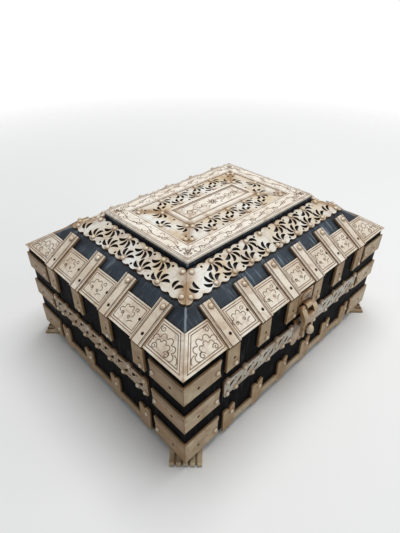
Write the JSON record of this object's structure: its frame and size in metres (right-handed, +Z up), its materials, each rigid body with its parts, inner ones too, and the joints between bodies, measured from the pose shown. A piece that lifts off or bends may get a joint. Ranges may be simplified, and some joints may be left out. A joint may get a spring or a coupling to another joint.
{
  "type": "box",
  "caption": "Casket with a sloping hinged lid, bone straps, pierced bone plates and pins on dark wood, a front clasp and carved paw feet.",
  "frame": {"origin": "centre of the bounding box in plan, on the surface that the feet stand on", "axes": "+X to the right along the front, +Y from the front to the hinged back, +Z up"},
  "size_m": [0.3176, 0.2632, 0.1544],
  "materials": {
    "ebonised_wood": "worn satin",
    "bone": "engraved, satin",
    "bone_pins": "polished",
    "carved_bone_clasp": "worn satin",
    "brass": "aged satin"
  },
  "bodies": {
    "case": {"front_board": "ebonised_wood", "back_board": "ebonised_wood", "left_board": "ebonised_wood", "right_board": "ebonised_wood", "base_board": "ebonised_wood", "foot_front_left": "bone", "foot_front_right": "bone", "foot_back_left": "bone", "foot_back_right": "bone", "corner_strips_front_left": "bone", "corner_strips_front_right": "bone", "corner_strips_back_left": "bone", "corner_strips_back_right": "bone", "front_band": "bone", "back_band": "bone", "left_band": "bone", "right_band": "bone", "front_tabs": "bone", "back_tabs": "bone", "left_tabs": "bone", "right_tabs": "bone", "border_strips": "bone", "case_pins": "bone_pins", "case_clasp_plate": "carved_bone_clasp", "case_hinge_leaves": "brass", "hinge_pins": "brass", "case_hinge_nails": "brass"},
    "lid": {"lid_front_board": "ebonised_wood", "lid_back_board": "ebonised_wood", "lid_left_board": "ebonised_wood", "lid_right_board": "ebonised_wood", "slope_front_board": "ebonised_wood", "slope_back_board": "ebonised_wood", "slope_left_board": "ebonised_wood", "slope_right_board": "ebonised_wood", "top_board": "ebonised_wood", "front_plaques": "bone", "back_plaques": "bone", "left_plaques": "bone", "right_plaques": "bone", "front_straps": "bone", "back_straps": "bone", "left_straps": "bone", "right_straps": "bone", "front_fretwork": "bone", "back_fretwork": "bone", "left_fretwork": "bone", "right_fretwork": "bone", "strap_drops": "bone", "top_border": "bone", "top_ring": "bone", "centre_panel": "bone", "lid_corner_strips": "bone", "lid_pins": "bone_pins", "fretwork_pins": "bone_pins", "lid_hinge_leaves": "brass", "lid_hinge_nails": "brass", "lid_clasp_plate": "carved_bone_clasp"},
    "hasp": {"hasp": "carved_bone_clasp"},
    "knob": {"turn_knob": "carved_bone_clasp"}
  },
  "joints": [
    {"name": "lid_open", "type": "hinge", "parent": "case", "child": "lid", "pos_m": [0, 0.12343, 0.0822], "axis": [-1, 0, 0], "range_deg": [0, 100]},
    {"name": "hasp_lift", "type": "hinge", "parent": "lid", "child": "hasp", "pos_m": [0, -0.11987, 0.094], "axis": [-1, 0, 0], "range_deg": [0, 100]},
    {"name": "knob_turn", "type": "hinge", "parent": "case", "child": "knob", "pos_m": [0, -0.11527, 0.0685], "axis": [0, -1, 0], "range_deg": [0, 90]}
  ]
}
